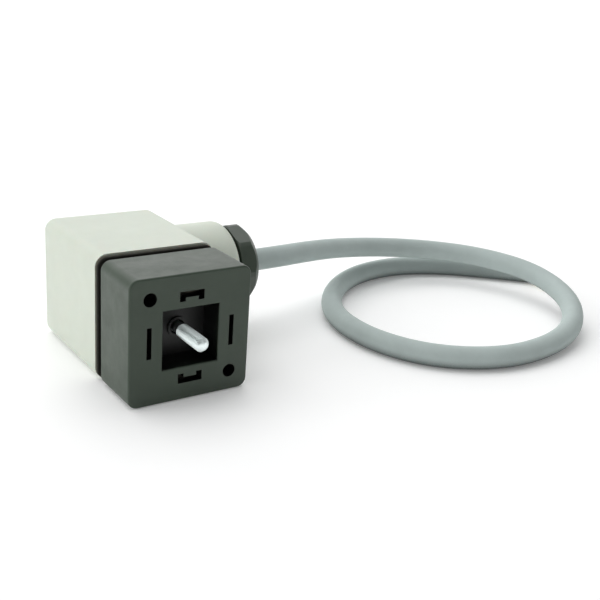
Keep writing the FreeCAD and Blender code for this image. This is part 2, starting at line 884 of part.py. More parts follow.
def stripped_end():
    """The three cores beyond the sheath, each with a ferrule crimped on."""
    radius = size("core_radius")
    end = FreeCAD.Vector(*ROUTE[-1])
    along = end - FreeCAD.Vector(*ROUTE[-2])
    along.normalize()
    side = Z_AXIS.cross(along)
    made = []
    ferrules = []
    for colour, (across, up) in CORE_SEATS.items():
        points = core_points(end + side * across + Z_AXIS * up, CORE_LANES[colour])
        shape, length, radii = tube([tuple(p) for p in points], radius)
        print(colour, "core length", round(length, 1), "radii", [round(r, 1) for r in radii])
        made.append(solid(f"end_core_{colour}", shape))
        out = points[-1] - points[-2]
        out.normalize()
        ferrules.append(ferrule(points[-1], out))
    made.append(solid("core_ferrules", Part.makeCompound(ferrules)))
    return made


# ---------------------------------------------------------------- electronics


def circuit_board():
    """Board on the carrier's tower, with the screw column and the contact tails through it."""
    square = ("-board_half", "board_half")
    slab = block("board_slab", square, ("tower_rear", "board_rear"), square)
    through = ("tower_rear - past", "board_rear + past")
    tools = [rod("board_hole", "board_hole_radius", "Y", *through, SCREW)]
    thin = "tail_half_thickness + board_slot_gap"
    tall = ("-tail_half_width - board_slot_gap", "tail_half_width + board_slot_gap")
    for sign, word in (("-", "low"), ("", "high")):
        across = (f"{sign}contact_offset - ({thin})", f"{sign}contact_offset + {thin}")
        tools.append(block(f"board_slot_x_{word}", across, through, tall))
        tools.append(block(f"board_slot_z_{word}", tall, through, across))
    return cut("circuit_board", slab, *tools)


def smoothing_capacitor():
    """Round electrolytic capacitor standing on the board, with the groove round its foot."""
    owner = body("smoothing_capacitor")
    profile = sketch(owner, "capacitor_profile", "XY_Plane", "capacitor_z", "capacitor_x", "board_rear")
    neck = "capacitor_radius - capacitor_neck"
    outline(
        profile,
        [
            ("0", "0"),
            ("capacitor_radius", "0"),
            ("capacitor_radius", "capacitor_groove - capacitor_edge"),
            (neck, "capacitor_groove"),
            ("capacitor_radius", "capacitor_groove + capacitor_edge"),
            ("capacitor_radius", "capacitor_height - capacitor_edge"),
            ("capacitor_radius - capacitor_edge", "capacitor_height"),
            ("0", "capacitor_height"),
        ],
    )
    lathe(owner, "capacitor_turned", profile, "V_Axis")
    return owner


def power_transistor():
    """Flat-backed transistor with its metal tab and three legs in the board."""
    wide = ("-transistor_half", "transistor_half")
    case = block(
        "transistor_case",
        wide,
        ("transistor_foot", "transistor_case_rear"),
        ("transistor_back", "transistor_top"),
    )
    tab = block("transistor_tab", wide, ("transistor_foot", "tab_rear"), ("tab_back", "transistor_back"))
    hole = rod(
        "transistor_hole",
        "tab_hole_radius",
        "Z",
        "tab_back - past",
        "transistor_back + past",
        ("0", "tab_hole_y"),
    )
    legs = []
    for word, middle in (
        ("left", "-transistor_leg_pitch"),
        ("middle", "0"),
        ("right", "transistor_leg_pitch"),
    ):
        across = (f"{middle} - transistor_leg_half", f"{middle} + transistor_leg_half")
        along = ("board_rear", "transistor_foot + transistor_leg_root")
        legs.append(
            block(f"transistor_leg_{word}", across, along, ("transistor_leg_back", "transistor_leg_front"))
        )
    return cut("power_transistor", fuse("transistor_whole", case, tab, *legs), hole)


def bridge_rectifier():
    """Moulded bridge rectifier flat on the board."""
    return block(
        "bridge_rectifier",
        ("rectifier_low_x", "rectifier_high_x"),
        ("board_rear", "board_rear + rectifier_height"),
        ("rectifier_low_z", "rectifier_high_z"),
    )


def choke():
    """Shielded choke: a round winding drum on a square foot."""
    base = block(
        "choke_foot",
        ("choke_x - choke_half", "choke_x + choke_half"),
        ("board_rear", "board_rear + choke_foot_height"),
        ("choke_z - choke_half", "choke_z + choke_half"),
    )
    drum = rod(
        "choke_drum",
        "choke_radius",
        "Y",
        "board_rear + choke_foot_height / 2",
        "board_rear + choke_height",
        ("choke_x", "choke_z"),
    )
    return fuse("choke", base, drum)


def varistor():
    """Disc varistor standing on two legs."""
    disc = rod(
        "varistor_disc",
        "varistor_radius",
        "X",
        "varistor_x - varistor_half_thickness",
        "varistor_x + varistor_half_thickness",
        ("board_rear + varistor_lift", "varistor_z"),
    )
    legs = []
    for word, sign in (("low", "-"), ("high", "+")):
        seat = ("varistor_x", f"varistor_z {sign} varistor_leg_pitch_half")
        top = "board_rear + varistor_lift"
        legs.append(rod(f"varistor_leg_{word}", "varistor_leg_radius", "Y", "board_rear", top, seat))
    return fuse("varistor", disc, *legs)


# ---------------------------------------------------------------- assembly


parts = [
    contact_carrier(),
    housing_gasket(),
    electronics_housing(),
    fixing_screw(),
    screw_o_ring(),
    washer(
        "screw_retainer",
        "retainer_radius",
        "retainer_bore_radius",
        "Y",
        "retainer_seat_front",
        "retainer_seat_front + retainer_thickness",
        SCREW,
    ),
    contact("contact_left", True, "-"),
    contact("contact_right", True, ""),
    contact("contact_top", False, ""),
    contact("contact_bottom", False, "-"),
    gland_nut(),
    washer(
        "thrust_ring",
        "ring_radius",
        "nut_bore_radius",
        "X",
        "thread_bore_root",
        "thread_bore_root + ring_thickness",
        GLAND,
    ),
    washer(
        "sealing_grommet",
        "grommet_bore_radius",
        "cable_radius",
        "X",
        "grommet_seat",
        "thread_bore_root",
        GLAND,
    ),
    rod("inner_sheath", "cable_radius", "X", "sheath_inner_end", "cord_start", GLAND),
    *inner_cores(),
    cable(),
    *stripped_end(),
    circuit_board(),
    smoothing_capacitor(),
    power_transistor(),
    bridge_rectifier(),
    choke(),
    varistor(),
]

doc.recompute()
for obj in doc.Objects:
    if "Invalid" in obj.State or "Error" in obj.State:
        raise RuntimeError(f"{obj.Name} failed: {obj.State}")
os.makedirs("parts", exist_ok=True)
for part in parts:
    part.Label = part.Name
    shape = part.Shape
    if shape.isNull() or not shape.isValid() or not shape.Solids:
        raise RuntimeError(f"{part.Label} has no valid shape")
    shape.exportStep(f"parts/{part.Label}.step")
    print(part.Label, "solids", len(shape.Solids), "volume", round(shape.Volume, 1))
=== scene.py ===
"""Looks of a form A valve connector with an electronics housing and a short looped lead."""

import json
import math

import bmesh
import bpy
from mathutils import Matrix, Vector


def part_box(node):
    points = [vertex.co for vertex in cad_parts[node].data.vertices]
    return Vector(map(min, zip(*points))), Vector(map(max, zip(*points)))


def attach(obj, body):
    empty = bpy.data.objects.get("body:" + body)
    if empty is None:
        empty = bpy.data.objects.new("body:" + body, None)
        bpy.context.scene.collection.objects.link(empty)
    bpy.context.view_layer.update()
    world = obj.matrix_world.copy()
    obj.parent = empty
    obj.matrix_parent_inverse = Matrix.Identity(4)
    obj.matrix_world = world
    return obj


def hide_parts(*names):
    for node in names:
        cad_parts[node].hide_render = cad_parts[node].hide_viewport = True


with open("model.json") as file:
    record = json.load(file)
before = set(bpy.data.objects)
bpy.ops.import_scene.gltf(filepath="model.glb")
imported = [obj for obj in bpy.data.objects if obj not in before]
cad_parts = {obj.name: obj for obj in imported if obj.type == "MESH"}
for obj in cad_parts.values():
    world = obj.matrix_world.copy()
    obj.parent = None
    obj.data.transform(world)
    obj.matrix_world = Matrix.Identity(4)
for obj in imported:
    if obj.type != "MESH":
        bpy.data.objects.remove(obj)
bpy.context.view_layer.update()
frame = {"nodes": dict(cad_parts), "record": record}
nodes = frame["nodes"]
MM = 0.001

# The frame: origin in the middle of the mating face, +Y into the housing, +X to the gland, +Z up.
FLOOR_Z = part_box("electronics_housing")[0].z


# ---------------------------------------------------------------- camera, floor and lights

CAMERA_AZIMUTH = math.radians(35.61)
CAMERA_ELEVATION = math.radians(20.01)
CAMERA_ROLL = math.radians(4.24)
CAMERA_DISTANCE = 198.0 * MM
CAMERA_TARGET = Vector((25.44, 0.0, 3.9)) * MM
CAMERA_LENS = 56.95
CAMERA_SENSOR = 36
CAMERA_NEAREST = 0.01
CAMERA_FARTHEST = 20

# Each lamp's place, width, height and power; all of them face the same point.
LAMPS = {
    "overhead": ((0.02, 0.25, 0.75), 0.9, 0.7, 3.0),
    "left": ((-0.75, 0.15, 0.35), 0.6, 0.5, 2.2),
    "back": ((0.25, 0.85, 0.35), 0.9, 0.5, 1.0),
    "front_fill": ((0.12, -0.75, 0.47), 0.6, 0.5, 0.34),
}
LAMP_TARGET = Vector((0.04, 0.01, 0.0))

TENT_STRENGTH = 0.8
TENT_FRONT = (0.25, 0.26, 0.26, 1)
TENT_REAR = (1, 1, 1, 1)
# The front's colour turns into the rear's between these two, from 0 at -Y to 1 at +Y.
TENT_TURNS = (0.2, 0.75)

FLOOR_SIZE = 4
FLOOR_GREY = 0.93
# The floor glows more with the distance from the origin, so that it stays white far away.
FLOOR_GLOW = {"From Min": 0.15, "From Max": 1.2, "To Min": 0.12, "To Max": 0.7}


def make_camera():
    """The camera, in front of the mating face and to its left, tilted a little."""
    az, el, roll = CAMERA_AZIMUTH, CAMERA_ELEVATION, CAMERA_ROLL
    forward = Vector((math.sin(az) * math.cos(el), math.cos(az) * math.cos(el), -math.sin(el)))
    right = forward.cross(Vector((0, 0, 1))).normalized()
    up = right.cross(forward)
    rolled_right = right * math.cos(roll) + up * math.sin(roll)
    rolled_up = up * math.cos(roll) - right * math.sin(roll)
    data = bpy.data.cameras.new("camera")
    data.lens = CAMERA_LENS
    data.sensor_width = CAMERA_SENSOR
    data.clip_start = CAMERA_NEAREST
    data.clip_end = CAMERA_FARTHEST
    camera = bpy.data.objects.new("camera", data)
    bpy.context.scene.collection.objects.link(camera)
    turn = Matrix((rolled_right, rolled_up, -forward)).transposed()
    camera.matrix_world = Matrix.Translation(CAMERA_TARGET - forward * CAMERA_DISTANCE) @ turn.to_4x4()
    bpy.context.scene.camera = camera


def area_light(name, place, width, height, power):
    """A soft rectangular lamp that faces the object."""
    data = bpy.data.lights.new(name, "AREA")
    data.shape = "RECTANGLE"
    data.size = width
    data.size_y = height
    data.energy = power
    lamp = bpy.data.objects.new(name, data)
    bpy.context.scene.collection.objects.link(lamp)
    lamp.location = place
    lamp.rotation_euler = (LAMP_TARGET - lamp.location).to_track_quat("-Z", "Y").to_euler()


def studio():
    """Four soft lamps in a bright tent that is darker on the camera's side."""
    for name, lamp in LAMPS.items():
        area_light(name, *lamp)

    world = bpy.data.worlds.new("studio")
    bpy.context.scene.world = world
    world.use_nodes = True
    tree = world.node_tree
    background = tree.nodes["Background"]
    background.inputs["Strength"].default_value = TENT_STRENGTH
    place = tree.nodes.new("ShaderNodeTexCoord")
    split = tree.nodes.new("ShaderNodeSeparateXYZ")
    ramp = tree.nodes.new("ShaderNodeValToRGB")
    for stop, position, colour in zip(ramp.color_ramp.elements, TENT_TURNS, (TENT_FRONT, TENT_REAR)):
        stop.position = position
        stop.color = colour
    spread = tree.nodes.new("ShaderNodeMapRange")
    spread.inputs["From Min"].default_value = -1
    tree.links.new(place.outputs["Generated"], split.inputs[0])
    tree.links.new(split.outputs["Y"], spread.inputs["Value"])
    tree.links.new(spread.outputs[0], ramp.inputs[0])
    tree.links.new(ramp.outputs[0], background.inputs["Color"])


def make_floor():
    """A plain pale floor."""
    mesh = bpy.data.meshes.new("floor")
    shape = bmesh.new()
    bmesh.ops.create_grid(shape, x_segments=4, y_segments=4, size=FLOOR_SIZE)
    shape.to_mesh(mesh)
    shape.free()
    floor = bpy.data.objects.new("floor", mesh)
    bpy.context.scene.collection.objects.link(floor)
    floor.location = (0, 0, FLOOR_Z)
    material = bpy.data.materials.new("floor_paper")
    material.use_nodes = True
    tree = material.node_tree
    paper = tree.nodes["Principled BSDF"]
    paper.inputs["Base Color"].default_value = (FLOOR_GREY, FLOOR_GREY, FLOOR_GREY, 1)
    paper.inputs["Roughness"].default_value = 0.9
    paper.inputs["Specular IOR Level"].default_value = 0.2
    paper.inputs["Emission Color"].default_value = (1, 1, 1, 1)
    distance = tree.nodes.new("ShaderNodeVectorMath")
    distance.operation = "LENGTH"
    glow = tree.nodes.new("ShaderNodeMapRange")
    for name, value in FLOOR_GLOW.items():
        glow.inputs[name].default_value = value
    place = tree.nodes.new("ShaderNodeTexCoord")
    tree.links.new(place.outputs["Object"], distance.inputs[0])
    tree.links.new(distance.outputs["Value"], glow.inputs["Value"])
    tree.links.new(glow.outputs[0], paper.inputs["Emission Strength"])
    mesh.materials.append(material)


# ---------------------------------------------------------------- material tools


class Shader:
    """A node material under construction: its tree, its surface shader and small helpers."""

    def __init__(self, name):
        self.material = bpy.data.materials.new(name)
        self.material.use_nodes = True
        self.tree = self.material.node_tree
        self.surface = self.tree.nodes["Principled BSDF"]
        self.place = self.tree.nodes.new("ShaderNodeTexCoord").outputs["Object"]

    def set(self, **values):
        """Plain values on the surface shader's own sockets; names use _ for a space."""
        for name, value in values.items():
            self.surface.inputs[name.replace("_", " ")].default_value = value

    def link(self, source, name):
        """A texture into one of the surface shader's sockets."""
        self.tree.links.new(source, self.surface.inputs[name])

    def feed(self, socket, value):
        """A plain value or another node's output into a socket."""
        if isinstance(value, bpy.types.NodeSocket):
            self.tree.links.new(value, socket)
        else:
            socket.default_value = value

    def new(self, kind, settings=None, **inputs):
        """A node; inputs go by name, or by number after a _, and settings are its properties."""
        node = self.tree.nodes.new(kind)
        for name, value in (settings or {}).items():
            setattr(node, name, value)
        for name, value in inputs.items():
            key = int(name[1:]) if name[1:].isdigit() else name.replace("_", " ")
            self.feed(node.inputs[key], value)
        return node

    def stretched(self, x, y, z):
        """The object's coordinates, scaled along each axis."""
        return self.new("ShaderNodeMapping", Vector=self.place, Scale=(x, y, z)).outputs[0]

    def noise(self, size, detail=3.0, rough=0.55, where=None, distortion=0.0):
        """Smooth noise from 0 to 1 whose features are about this size, in metres or in where's units."""
        node = self.new(
            "ShaderNodeTexNoise",
            Vector=where or self.place,
            Scale=1.0 / size,
            Detail=detail,
            Roughness=rough,
            Distortion=distortion,
        )
        return node.outputs[0]

    def ramp(self, value, low, high, out_low=0.0, out_high=1.0):
        """value moved from one range to another, and clamped."""
        node = self.new("ShaderNodeMapRange", _0=value, _1=low, _2=high, _3=out_low, _4=out_high)
        return node.outputs[0]

    def maths(self, operation, first, second):
        """Two values through one operation."""
        return self.new("ShaderNodeMath", {"operation": operation}, _0=first, _1=second).outputs[0]

    def blend(self, share, first, second):
        """Two colours mixed by a share."""
        inputs = {"_0": share, "_6": opaque(first), "_7": opaque(second)}
        return self.new("ShaderNodeMix", {"data_type": "RGBA"}, **inputs).outputs[2]

    def bump(self, height, depth, below=None):
        """A bump of this depth in metres, over another one if given; feeds the surface."""
        node = self.new("ShaderNodeBump", Height=height, Distance=depth, Strength=1.0)
        if below is not None:
            self.tree.links.new(below, node.inputs["Normal"])
        self.link(node.outputs[0], "Normal")
        return node.outputs[0]

    def crevice(self, distance, alone=True):
        """1 in the open and 0 deep in a corner, of this piece alone or of everything near it."""
        settings = {"samples": 8, "only_local": alone}
        return self.new("ShaderNodeAmbientOcclusion", settings, Distance=distance).outputs["AO"]


def opaque(colour):
    """A plain colour with its alpha; another node's output is passed on."""
    return (*colour, 1) if isinstance(colour, tuple) else colour


def shade(colour, factor):
    """A colour made darker or lighter."""
    return tuple(min(1.0, c * factor) for c in colour)


# ---------------------------------------------------------------- materials

# The gasket's colour is darkened, as a painted shadow, from its front to this distance behind the mating
# face.
PAINTED_SHADOW_END = 15.5 * MM
PAINTED_SHADOW_BLUR = 0.08 * MM


def moulded_plastic(name, colour, roughness, grain_depth, mottle, corner_shade, deep_shade=1.0):
    """Injection-moulded plastic: spark-eroded grain, faint flow marks, painted shade in corners and, if
    deep_shade is below 1, deep in hollows.
    """
    s = Shader(name)
    cloud = s.noise(9 * MM, 4.0, 0.6)
    body = s.blend(s.ramp(cloud, 0.3, 0.7), shade(colour, 1 - mottle), shade(colour, 1 + mottle))
    # Painted shade: the colour darkens towards corner_shade in the piece's own corners and creases, where
    # shade would fall.
    open_edge = s.ramp(s.crevice(1.6 * MM), 0.35, 0.95)
    skin = s.blend(open_edge, shade(colour, corner_shade), body)
    # Painted shade: deep in hollows such as the recess, the colour darkens towards deep_shade in place of
    # the shade there.
    if deep_shade < 1:
        shallow = s.ramp(s.crevice(9 * MM), 0.72, 0.98)
        skin = s.blend(shallow, shade(colour, deep_shade), skin)
    s.link(skin, "Base Color")
    flow = s.noise(1, 3.0, 0.5, s.stretched(60, 260, 260))
    rub = s.noise(2.5 * MM, 5.0, 0.7)
    gloss = s.maths("ADD", s.ramp(flow, 0.3, 0.7, -0.04, 0.04), s.ramp(rub, 0.35, 0.75, -0.03, 0.07))
    s.link(s.maths("ADD", gloss, roughness), "Roughness")
    pebbles = s.bump(s.noise(0.22 * MM, 2.0, 0.6), grain_depth)
    s.bump(s.noise(6 * MM, 2.0, 0.5), 0.03 * MM, pebbles)
    return s


def housing_plastic():
    """Pale greenish-grey nylon, with a little painted shade in its corners."""
    s = moulded_plastic("housing_nylon", (0.60, 0.645, 0.56), 0.48, 0.006 * MM, 0.022, 0.85)
    s.set(Specular_IOR_Level=0.45, Subsurface_Weight=0.08, Subsurface_Scale=0.6 * MM)
    return s.material


def carrier_plastic():
    """Dark olive glass-filled nylon, with painted shade in its corners and a near-black painted shade
    deep in its recess.
    """
    s = moulded_plastic("carrier_nylon", (0.034, 0.053, 0.034), 0.42, 0.008 * MM, 0.09, 0.6, 0.01)
    s.set(Specular_IOR_Level=0.5)
    return s.material


def nut_plastic():
    """The same nylon on the gland nut, handled and a little shinier, with painted shade in its corners.
    """
    s = moulded_plastic("nut_nylon", (0.040, 0.056, 0.039), 0.38, 0.006 * MM, 0.08, 0.5)
    s.set(Specular_IOR_Level=0.6)
    return s.material


def rubber(name, colour, painted_front_shadow=False):
    """Moulded rubber: fine mealy surface with a bloom of dust, painted shade where other parts come near,
    and a painted shadow near its front if asked.
    """
    s = Shader(name)
    bloom = s.ramp(s.noise(1.6 * MM, 6.0, 0.72), 0.45, 0.8)
    skin = s.blend(bloom, colour, shade(colour, 1.6))
    # Painted shade: where other parts come near, the colour darkens almost to black, in place of the
    # shade between them.
    proud = s.ramp(s.crevice(1.6 * MM, alone=False), 0.5, 0.9)
    if painted_front_shadow:
        # Painted shadow: from the gasket's front to the end distance above, the colour turns almost
        # black.
        depth = s.new("ShaderNodeSeparateXYZ", Vector=s.place).outputs["Y"]
        unshadowed = s.ramp(depth, PAINTED_SHADOW_END - PAINTED_SHADOW_BLUR, PAINTED_SHADOW_END + PAINTED_SHADOW_BLUR)
        skin = s.blend(unshadowed, shade(colour, 0.2), skin)
    s.link(s.blend(proud, shade(colour, 0.12), skin), "Base Color")
    s.link(s.ramp(s.noise(0.9 * MM), 0.3, 0.7, 0.64, 0.82), "Roughness")
    s.bump(s.noise(0.12 * MM, 3.0, 0.6), 0.008 * MM)
    s.set(Specular_IOR_Level=0.3)
    return s.material


def cable_sheath():
    """Blue-grey PVC sheath: matt, slightly cloudy, with fine pits and scuffs, and painted shade where
    strands or the floor come near.
    """
    s = Shader("cable_pvc")
    colour = (0.432, 0.497, 0.483)
    cloud = s.noise(7 * MM, 5.0, 0.62)
    body = s.blend(s.ramp(cloud, 0.3, 0.7), shade(colour, 0.95), shade(colour, 1.05))
    scuff = s.ramp(s.noise(1, 6.0, 0.7, s.stretched(180, 180, 700), 0.6), 0.62, 0.8)
    worn = s.blend(s.maths("MULTIPLY", scuff, 0.35), body, shade(colour, 1.28))
    # Painted shade: the colour darkens where another strand or the floor is near, in place of the contact
    # shadow between them.
    clear = s.ramp(s.crevice(8 * MM, alone=False), 0.2, 0.72)
    s.link(s.blend(clear, shade(colour, 0.3), worn), "Base Color")
    s.link(s.ramp(s.noise(1.1 * MM, 4.0, 0.6), 0.3, 0.7, 0.60, 0.74), "Roughness")
    pits = s.bump(s.noise(0.16 * MM, 3.0, 0.6), 0.009 * MM)
    s.bump(s.noise(2.2 * MM, 2.0, 0.5), 0.03 * MM, pits)
    s.set(Specular_IOR_Level=0.3)
    return s.material


def plated_metal(name, colour, roughness, lines=(900, 14000, 900)):
    """Plated metal: turning lines, a cloudy plating and a few dull spots."""
    s = Shader(name)
    dull = s.ramp(s.noise(0.8 * MM, 6.0, 0.75), 0.55, 0.78)
    s.link(s.blend(dull, colour, shade(colour, 0.72)), "Base Color")
    tool = s.noise(1, 2.0, 0.5, s.stretched(*lines))
    spots = s.ramp(dull, 0, 1, 0, 0.14)
    grooves = s.ramp(tool, 0.3, 0.7, roughness - 0.05, roughness + 0.06)
    s.link(s.maths("ADD", spots, grooves), "Roughness")
    s.bump(tool, 0.0015 * MM)
    s.set(Metallic=1.0)
    return s.material


def insulation(name, colour, stripe=None):
    """A core's PVC; a second colour runs along it as a stripe on both sides."""
    s = Shader(name)
    if stripe:
        around = s.new("ShaderNodeAttribute", {"attribute_name": "around"}).outputs["Fac"]
        wave = s.maths("SINE", s.maths("MULTIPLY", around, 4 * math.pi), 0.0)
        body = s.blend(s.ramp(wave, -0.06, 0.06), colour, stripe)
    else:
        body = s.blend(s.ramp(s.noise(1.5 * MM), 0.3, 0.7), shade(colour, 0.9), shade(colour, 1.1))
    s.link(body, "Base Color")
    s.link(s.ramp(s.noise(0.5 * MM), 0.3, 0.7, 0.34, 0.46), "Roughness")
    s.bump(s.noise(0.2 * MM), 0.006 * MM)
    return s.material


def board_laminate():
    """Green solder mask over copper tracks on woven glass."""
    s = Shader("board_laminate")
    face = s.new("ShaderNodeMapping", Vector=s.place, Rotation=(math.pi / 2, 0, 0)).outputs[0]
    tracks = s.new(
        "ShaderNodeTexBrick",
        {"offset": 0.37},
        Vector=face,
        Scale=1.0,
        Mortar_Size=0.28 * MM,
        Mortar_Smooth=0.1,
        Brick_Width=3.1 * MM,
        Row_Height=1.9 * MM,
    ).outputs["Fac"]
    weave = s.noise(0.5 * MM, 2.0)
    mask = s.blend(weave, (0.012, 0.115, 0.045), (0.018, 0.15, 0.06))
    s.link(s.blend(tracks, mask, (0.05, 0.24, 0.09)), "Base Color")
    s.link(s.ramp(weave, 0.3, 0.7, 0.25, 0.36), "Roughness")
    s.bump(tracks, 0.03 * MM)
    s.set(Coat_Weight=0.3, Coat_Roughness=0.2)
    return s.material


def component(name, colour, roughness, size=0.3 * MM, depth=0.006 * MM):
    """A moulded or coated electronic part."""
    s = Shader(name)
    patch = s.ramp(s.noise(2 * MM, 4.0, 0.65), 0.3, 0.7)
    s.link(s.blend(patch, shade(colour, 0.88), shade(colour, 1.15)), "Base Color")
    s.link(s.ramp(s.noise(0.8 * MM), 0.3, 0.7, roughness - 0.05, roughness + 0.07), "Roughness")
    s.bump(s.noise(size, 2.0), depth)
    return s.material


def make_materials():
    """Every material, under the name of the record's slot that it stands for."""
    return {
        "housing_plastic": housing_plastic(),
        "carrier_plastic": carrier_plastic(),
        "nut_plastic": nut_plastic(),
        "gasket_rubber": rubber("gasket_nitrile", (0.080, 0.078, 0.056), painted_front_shadow=True),
        "black_rubber": rubber("black_nitrile", (0.018, 0.018, 0.018)),
        "cable_sheath": cable_sheath(),
        "zinc_steel": plated_metal("zinc_plate", (0.92, 1.0, 0.99), 0.36),
        "tinned_brass": plated_metal("tin_plate", (0.42, 0.39, 0.32), 0.42, (3000, 900, 3000)),
        "tinned_copper": plated_metal("tinned_copper", (0.72, 0.71, 0.68), 0.3, (3000, 3000, 900)),
        "natural_nylon": component("natural_nylon", (0.72, 0.70, 0.60), 0.45),
        "core_brown": insulation("brown_pvc", (0.115, 0.045, 0.020)),
        "core_blue": insulation("blue_pvc", (0.020, 0.110, 0.400)),
        "core_green_yellow": insulation("green_yellow_pvc", (0.030, 0.260, 0.060), (0.80, 0.62, 0.03)),
        "board_laminate": board_laminate(),
        "capacitor_sleeve": component("capacitor_sleeve", (0.016, 0.016, 0.022), 0.22),
        "black_moulding": component("epoxy_moulding", (0.020, 0.020, 0.021), 0.55, 0.12 * MM),
        "ferrite": component("ferrite", (0.055, 0.055, 0.060), 0.6, 0.15 * MM, 0.012 * MM),
        "varistor_coating": component("varistor_coating", (0.030, 0.130, 0.380), 0.32),
    }


# ---------------------------------------------------------------- mesh tools

SMOOTH_ANGLE = math.radians(35)
THREAD_SMOOTH_ANGLE = math.radians(50)
FERRULE_SMOOTH_ANGLE = math.radians(30)


def finish_mesh(name, shape, body, smooth_angle=SMOOTH_ANGLE):
    """A bmesh as an object that rides on a CAD body, smooth up to an angle."""
    bmesh.ops.recalc_face_normals(shape, faces=shape.faces)
    mesh = bpy.data.meshes.new(name)
    shape.to_mesh(mesh)
    shape.free()
    mesh.shade_smooth()
    mesh.set_sharp_from_angle(angle=smooth_angle)
    piece = bpy.data.objects.new(name, mesh)
    bpy.context.scene.collection.objects.link(piece)
    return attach(piece, body)


def angles(count):
    """The angles of this many points, evenly spaced round a circle."""
    return [2 * math.pi * number / count for number in range(count)]


def ring_round_y(shape, y, radii):
    """Vertices round the Y axis, at one place along it, with a radius for each."""
    return [
        shape.verts.new((radius * math.cos(angle), y, radius * math.sin(angle)))
        for angle, radius in zip(angles(len(radii)), radii)
    ]


def turned(outline, segments):
    """A bmesh turned about the Y axis from (radius, y) points, closed where a radius is 0."""
    shape = bmesh.new()
    rings = [ring_round_y(shape, y, [radius] * (segments if radius else 1)) for radius, y in outline]
    join_rings(shape, rings)
    return shape


def join_rings(shape, rings):
    """Faces between each ring of vertices and the next; a ring of one vertex is a pole."""
    for low, high in zip(rings, rings[1:]):
        count = max(len(low), len(high))
        for number in range(count):
            after = (number + 1) % count
            corners = [
                low[number % len(low)],
                low[after % len(low)],
                high[after % len(high)],
                high[number % len(high)],
            ]
            shape.faces.new(list(dict.fromkeys(corners)))


# ---------------------------------------------------------------- fixing screw

THREAD_PITCH = 0.5 * MM
THREAD_RADIUS = 1.5 * MM
THREAD_DEPTH = 0.30 * MM
# Of half a pitch: how much of it is crest, and how much is flank. The rest is root.
CREST_SHARE = 0.10
FLANK_SHARE = 0.76
# The thread fades out over this length at the tip.
TIP_FADE = 0.6 * THREAD_PITCH
SCREW_TIP = -5.0 * MM
TIP_BULGE = 0.06 * MM
TIP_RADIUS = 0.98 * MM
TIP_SLOPE = 1.05
THREAD_REAR = 4.0 * MM
SHANK_RADIUS = 1.2 * MM
THREAD_MARGIN = 0.2 * MM
SHANK_IN_HEAD = 0.3 * MM
SCREW_COLUMNS = 56
ROWS_PER_PITCH = 12
HEAD_FRONT = 41.4 * MM
HEAD_REAR = 44.2 * MM
HEAD_RADIUS = 2.75 * MM
HEAD_EDGE = 0.18 * MM
HEAD_FOOT_EDGE = 0.06 * MM
HEAD_EDGE_STEPS = 4
HEAD_COLUMNS = 64
SLOT_WIDTH = 0.8 * MM
SLOT_DEPTH = 1.2 * MM
SLOT_EDGE = 0.05 * MM
SLOT_EDGE_ANGLE = math.radians(50)


def thread_radius(angle, y):
    """Radius of the screw's skin at an angle and a place: V thread, chamfered tip, run-out behind."""
    turns = y / THREAD_PITCH - angle / (2 * math.pi)
    share = abs((turns % 1.0) * 2 - 1)
    flank = min(1.0, max(0.0, (share - CREST_SHARE) / FLANK_SHARE))
    from_tip = y - SCREW_TIP
    chamfer = TIP_RADIUS + from_tip * TIP_SLOPE
    run_out = min(1.0, max(0.0, (THREAD_REAR - y) / THREAD_PITCH))
    cut = THREAD_DEPTH * flank * min(1.0, from_tip / TIP_FADE)
    core = SHANK_RADIUS + (THREAD_RADIUS - cut - SHANK_RADIUS) * run_out
    return min(core, chamfer)


def screw_shank(material):
    """The threaded end and the thinner shank, one closed skin up to the head."""
    rows = round((THREAD_REAR - SCREW_TIP) / THREAD_PITCH * ROWS_PER_PITCH)
    shape = bmesh.new()
    rings = [ring_round_y(shape, SCREW_TIP - TIP_BULGE, [0])]
    for row in range(rows + 1):
        y = SCREW_TIP + (THREAD_REAR - SCREW_TIP) * row / rows
        rings.append(ring_round_y(shape, y, [thread_radius(angle, y) for angle in angles(SCREW_COLUMNS)]))
    shank_end = HEAD_FRONT + SHANK_IN_HEAD
    for y in (THREAD_REAR + THREAD_MARGIN, shank_end):
        rings.append(ring_round_y(shape, y, [SHANK_RADIUS] * SCREW_COLUMNS))
    rings.append(ring_round_y(shape, shank_end, [0]))
    join_rings(shape, rings)
    piece = finish_mesh("screw_shank", shape, "screw", THREAD_SMOOTH_ANGLE)
    piece.data.materials.append(material)
    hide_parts("fixing_screw")


